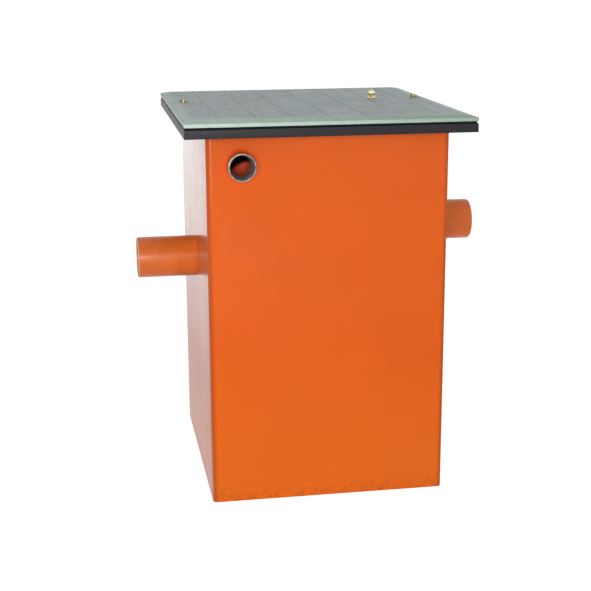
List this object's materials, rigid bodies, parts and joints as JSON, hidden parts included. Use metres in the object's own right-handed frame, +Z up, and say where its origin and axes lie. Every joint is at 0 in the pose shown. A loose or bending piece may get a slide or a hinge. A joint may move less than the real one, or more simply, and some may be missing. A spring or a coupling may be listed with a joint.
{
  "type": "grease trap",
  "caption": "Free-standing orange steel grease trap with a grey bolted pan lid, drain pipe spigots on both sides and a screwed vent socket on the front.",
  "frame": {"origin": "middle of the base, on the floor plane", "axes": "+Z up, +X towards the inlet pipe, -Y towards the front wall that carries the vent socket"},
  "size_m": [0.926, 0.802, 1.014],
  "materials": {
    "orange_tank": "gloss",
    "dark_frame": "satin",
    "grey_lid": "satin",
    "black_rubber": "matt",
    "brass": "satin",
    "pipe_plastic": "satin",
    "socket_steel": "satin",
    "bare_steel": "satin"
  },
  "bodies": {
    "tank": {"wall_left": "orange_tank", "wall_right": "orange_tank", "wall_front": "orange_tank", "wall_back": "orange_tank", "fold_front_left": "orange_tank", "fold_front_right": "orange_tank", "fold_back_left": "orange_tank", "fold_back_right": "orange_tank", "tank_floor": "orange_tank", "top_frame": "dark_frame", "lid_gasket": "black_rubber", "lid": "grey_lid", "lid_stiffener_left": "grey_lid", "lid_stiffener_right": "grey_lid", "lid_screw_left": "brass", "lid_screw_right": "brass", "screw_sleeve_left": "bare_steel", "screw_sleeve_right": "bare_steel", "screw_nut_left": "brass", "screw_nut_right": "brass", "lid_knob": "brass", "knob_nut": "brass", "inlet_pipe": "pipe_plastic", "inlet_seal": "black_rubber", "inlet_clamp_ring": "bare_steel", "outlet_pipe": "pipe_plastic", "outlet_seal": "black_rubber", "outlet_clamp_ring": "bare_steel", "outlet_tee": "pipe_plastic", "tee_cap": "pipe_plastic", "dip_pipe": "pipe_plastic", "vent_socket": "socket_steel", "vent_elbow": "pipe_plastic", "inlet_baffle": "bare_steel", "inlet_guide_front": "bare_steel", "inlet_guide_back": "bare_steel", "weir": "bare_steel", "weir_guide_front": "bare_steel", "weir_guide_back": "bare_steel", "basket_rail_inner": "bare_steel", "basket_rail_outer": "bare_steel", "basket_wall_front": "bare_steel", "basket_wall_back": "bare_steel", "basket_wall_inner": "bare_steel", "basket_wall_outer": "bare_steel", "basket_bottom": "bare_steel", "basket_rim": "bare_steel"},
    "handle": {"basket_handle": "bare_steel", "handle_grip": "black_rubber"}
  },
  "joints": [
    {"name": "handle_swing", "type": "hinge", "parent": "tank", "child": "handle", "pos_m": [0.1449, 0, 0.598], "axis": [0, 1, 0], "range_deg": [0, 180]}
  ]
}
